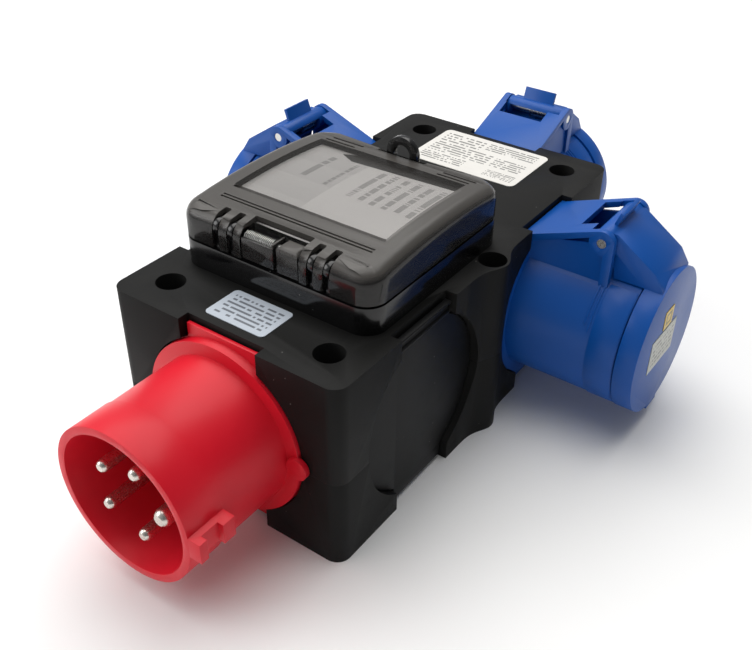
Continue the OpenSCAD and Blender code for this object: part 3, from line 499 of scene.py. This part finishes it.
def rod(name, radius, start, end, sides=48):
    """A round bar between two points in millimetres."""
    start, end = Vector(start), Vector(end)
    select_none()
    bpy.ops.mesh.primitive_cylinder_add(vertices=sides, radius=radius * MM,
                                        depth=(end - start).length * MM,
                                        location=(start + end) / 2 * MM,
                                        rotation=(end - start).to_track_quat("Z", "Y").to_euler())
    bpy.context.object.name = name
    bpy.ops.object.transform_apply(location=True, rotation=True, scale=True)
    return bpy.context.object


def lid_form(inset):
    """The outside of the lid, or the same form drawn in by the inset."""
    low_z = LID_Z - (1 if inset else 0)
    form = block("form", (LID_LOW[0] + inset, LID_LOW[1] + inset, low_z),
                 (LID_HIGH[0] - inset, LID_HIGH[1] - inset, ROUGH_TOP))
    round_creases(form, lambda mid: low_z + 1 < mid.z < ROUGH_TOP - 1, LID_CORNER - inset, 10)
    arch = rod("arch", ARCH_R - inset, (-60, WIN_Y, ARCH_Z), (60, WIN_Y, ARCH_Z), 512)
    combine(form, arch, "INTERSECT")
    round_creases(form, lambda mid: mid.z > 104, LID_RIM - inset / 2, 6, 45)
    return form


def arch_top(y):
    """The height of the lid's top at y."""
    return math.sqrt(ARCH_R ** 2 - (y - WIN_Y) ** 2) + ARCH_Z


def channel(x0, x1, y, width, depth):
    """A round-ended cutter that leaves a shallow channel in the lid's top."""
    z = arch_top(y) - depth
    piece = block("channel", (x0, y - width / 2, z), (x1, y + width / 2, z + 6))
    return round_creases(piece, lambda mid: z + 1 < mid.z < z + 5, width * 0.49, 4)


def hinge_cutters():
    """The four ear slots and the gap in the middle that the spring block sits in."""
    slots = [block("slot", (x - 1.6, -75, CUT_LOW), (x + 1.6, -65.2, CUT_TOP)) for x in EAR_SLOTS]
    for one in slots:
        round_creases(one, lambda mid: mid.y > -66 and abs(mid.z - 107) < 8, 0.8, 3)
    return slots + [block("middle", (-13.8, -75, CUT_LOW), (13.8, -63.8, CUT_TOP), 0.5, 2)]


def knuckle_bars():
    """The thick parts of the front wall that hold the hinge pin, between the ear slots."""
    bar = rod("knuckles", 3.5, (-30, HINGE.y, HINGE.z), (30, HINGE.y, HINGE.z), 64)
    combine(bar, block("web", (-30, -67.2, LID_Z + 0.6), (30, -65.2, 106.4)), "UNION")
    combine(bar, lid_form(0.4), "INTERSECT")
    return cut(bar, hinge_cutters())


def window_lid():
    """The smoked lid: a channelled, hollowed skin with its knuckles and the housing of its spring."""
    lid = cut(lid_form(0), [channel(*sizes) for sizes in CHANNELS])
    lid = cut(lid, [lid_form(LID_WALL)])
    eye = block("eye", (-11.9, 9.7, CUT_LOW), (11.9, 14.7, CUT_TOP), 0.6, 2)
    lid = cut(lid, hinge_cutters() + [eye])
    lid.name = "lid_skin"
    bars = knuckle_bars()
    spring_house = block("spring_house", (-13.3, -73.6, LID_Z + 0.4), (1.9, -72.2, 104.4), 0.5, 2)
    spring_back = block("spring_back", (-13.3, -67.0, LID_Z + 0.4), (1.9, -65.9, 104.0), 0.4, 2)
    spring_end = block("spring_end", (0.9, -73.4, LID_Z + 0.6), (1.9, -66.0, 106.2), 0.4, 2)
    plain = block("plain", (3.7, -73.7, LID_Z + 0.4), (13.3, -66.2, 106.9))
    round_creases(plain, lambda mid: mid.z > 106, 2.4, 6)
    core = rod("core", 1.95, (-13, HINGE.y, HINGE.z), (1.6, HINGE.y, HINGE.z))
    bridge = block("bridge", (-14.6, -66.6, LID_Z + 0.4), (14.6, -65.4, 99.6), 0.3, 2)
    modify(lid, "BEVEL", width=0.28 * MM, segments=2, limit_method="ANGLE",
           angle_limit=math.radians(48), use_clamp_overlap=True)
    lid = join("window_lid_smoked",
               [lid, bars, spring_house, spring_back, spring_end, plain, core, bridge])
    smooth(lid, 40)
    return paint(stand_for(lid, "window_lid"))


def helix(name, wire, radius, turns, length, start, steps=18):
    """A coil of round wire along +X from the start point, in millimetres."""
    select_none()
    bpy.ops.mesh.primitive_circle_add(vertices=8, radius=wire * MM, location=(0, 0, radius * MM),
                                      rotation=(math.pi / 2, 0, 0))
    coil = bpy.context.object
    coil.name = name
    bpy.ops.object.transform_apply(location=True, rotation=True, scale=True)
    modify(coil, "SCREW", axis="X", angle=2 * math.pi, screw_offset=length / turns * MM,
           iterations=turns, steps=steps, render_steps=steps, use_normal_calculate=True)
    bpy.ops.object.mode_set(mode="EDIT")
    bpy.ops.mesh.select_all(action="SELECT")
    bpy.ops.mesh.fill_holes(sides=0)
    bpy.ops.object.mode_set(mode="OBJECT")
    coil.location = Vector(start) * MM
    settle(coil)
    return smooth(coil, 60)


window_lid()
coil = helix("lid_coil", wire=0.23, radius=2.5, turns=17, length=13.2,
             start=(-12.6, HINGE.y, HINGE.z))
paint(stand_for(coil, "window_spring"))


# ---- Details on the sockets ----

# Where each socket leaves the case, x and y in millimetres, and its turn in degrees.
SOCKETS = {"right": ((54, SOCKET_Y), 0), "rear": ((0, 103.5), 90), "left": ((-54, SOCKET_Y), 180)}
RING_FOOT = 31.9  # the inner radius of the rings on a sleeve


def turned_ring(name, profile, start, sweep, steps):
    """Spins a closed outline, given as (out, radius) in millimetres, round the socket's axis."""
    select_none()
    mesh = bpy.data.meshes.new(name)
    a, lift = math.radians(start), []
    for out, radius in profile:
        lift.append((out * MM, -radius * math.sin(a) * MM, radius * math.cos(a) * MM))
    mesh.from_pydata(lift, [], [tuple(range(len(lift)))])
    ring = bpy.data.objects.new(name, mesh)
    bpy.context.scene.collection.objects.link(ring)
    select_only(ring)
    bpy.ops.object.mode_set(mode="EDIT")
    bpy.ops.mesh.select_all(action="SELECT")
    bpy.ops.mesh.spin(steps=steps, angle=-math.radians(sweep), center=(0, 0, 0), axis=(1, 0, 0),
                      dupli=False)
    bpy.ops.object.mode_set(mode="OBJECT")
    return ring


def at_socket(piece, side):
    """Turns a piece made along +X round the origin to its socket."""
    (px, py), turn = SOCKETS[side]
    piece.rotation_euler = (0, 0, math.radians(turn))
    piece.location = (px * MM, py * MM, SOCKET_Z * MM)
    return settle(piece)


def sleeve_collar(side):
    """The broad band round a socket's sleeve and the short grip ribs behind it."""
    band = [(36.2, RING_FOOT), (36.2, 32.42), (36.6, 32.62), (47.9, 32.62), (48.3, 32.4),
            (48.3, RING_FOOT)]
    rings = [turned_ring("collar", band, 30, 300, 100)]
    for out, start, sweep in ((32.2, 30, 34), (34.2, 29, 40)):
        rib = [(out, RING_FOOT), (out, 32.5), (out + 0.25, 32.7), (out + 0.55, 32.7), (out + 0.8, 32.5),
               (out + 0.8, RING_FOOT)]
        for way in (1, -1):
            rings.append(turned_ring("rib", rib, way * start, way * sweep, 16))
    collar = join("sleeve_collar_" + side, rings)
    at_socket(collar, side)
    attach(collar, "box")
    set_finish(collar, "blue_housing")
    return paint(smooth(collar, 40))


for side in SOCKETS:
    sleeve_collar(side)


# ---- Carried-over CAD nodes ----

for node, obj in NODES.items():
    if not obj.hide_render:
        obj.data.materials.clear()
        obj.data.materials.append(MATERIALS[SLOT_OF[node]])


# ---- Camera, floor and light ----

CAMERA_PLACE = Vector((202.96, -294.45, 281.85)) * MM


def camera():
    azimuth, elevation, roll = (math.radians(a) for a in (35.14, 35.26, 0.81))
    back = Vector((math.sin(azimuth) * math.cos(elevation), -math.cos(azimuth) * math.cos(elevation),
                   math.sin(elevation)))
    side = Vector((0, 0, 1)).cross(back).normalized()
    up = back.cross(side)
    turned_side = side * math.cos(roll) + up * math.sin(roll)
    turned_up = up * math.cos(roll) - side * math.sin(roll)
    eye = bpy.data.objects.new("camera", bpy.data.cameras.new("camera"))
    eye.data.lens = 46.29
    eye.data.sensor_width = 36.0
    eye.data.clip_start = 0.01
    axes = Matrix((turned_side, turned_up, back)).transposed().to_4x4()
    eye.matrix_world = Matrix.Translation(CAMERA_PLACE) @ axes
    bpy.context.scene.collection.objects.link(eye)
    bpy.context.scene.camera = eye


def area_light(name, place, target, size, power, colour=(1, 1, 1)):
    lamp = bpy.data.lights.new(name, "AREA")
    lamp.shape, lamp.size, lamp.size_y = "RECTANGLE", size[0], size[1]
    lamp.energy, lamp.color = power, colour
    obj = bpy.data.objects.new(name, lamp)
    aim = (Vector(target) - Vector(place)).to_track_quat("-Z", "Y")
    obj.matrix_world = Matrix.Translation(place) @ aim.to_matrix().to_4x4()
    bpy.context.scene.collection.objects.link(obj)


def studio():
    select_none()
    bpy.ops.mesh.primitive_plane_add(size=8, location=(0, 0, 0))
    floor = bpy.context.object
    floor.name = "floor"
    f = Finish("pale_floor")
    slow = f.noise(3.0)
    f.feed(Base_Color=f.blend(slow, rgba(0.95, 0.95, 0.95), rgba(0.97, 0.97, 0.97)),
           Roughness=f.remap(slow, 0, 1, 0.7, 0.8))
    floor.data.materials.append(f.material)
    world = bpy.data.worlds.new("studio")
    world.use_nodes = True
    nodes, links = world.node_tree.nodes, world.node_tree.links
    around, across = nodes.new("ShaderNodeTexCoord"), nodes.new("ShaderNodeSeparateXYZ")
    falling = nodes.new("ShaderNodeMapRange")
    for end, value in (("From Min", -0.7), ("From Max", 0.7), ("To Min", 0.55), ("To Max", 0.16)):
        falling.inputs[end].default_value = value
    links.new(around.outputs["Generated"], across.inputs[0])
    links.new(across.outputs["X"], falling.inputs["Value"])
    links.new(falling.outputs[0], nodes["Background"].inputs["Strength"])
    nodes["Background"].inputs["Color"].default_value = (0.97, 0.985, 1.0, 1)
    bpy.context.scene.world = world
    area_light("overhead", (-0.5, 0.5, 2.1), (0, 0, 0.05), (2.6, 2.6), 56, (1.0, 0.985, 0.96))
    area_light("front_left", (-1.3, -1.0, 0.9), (0, -0.05, 0.05), (1.0, 1.0), 10)
    bpy.context.scene.view_settings.view_transform = "Standard"


camera()
studio()
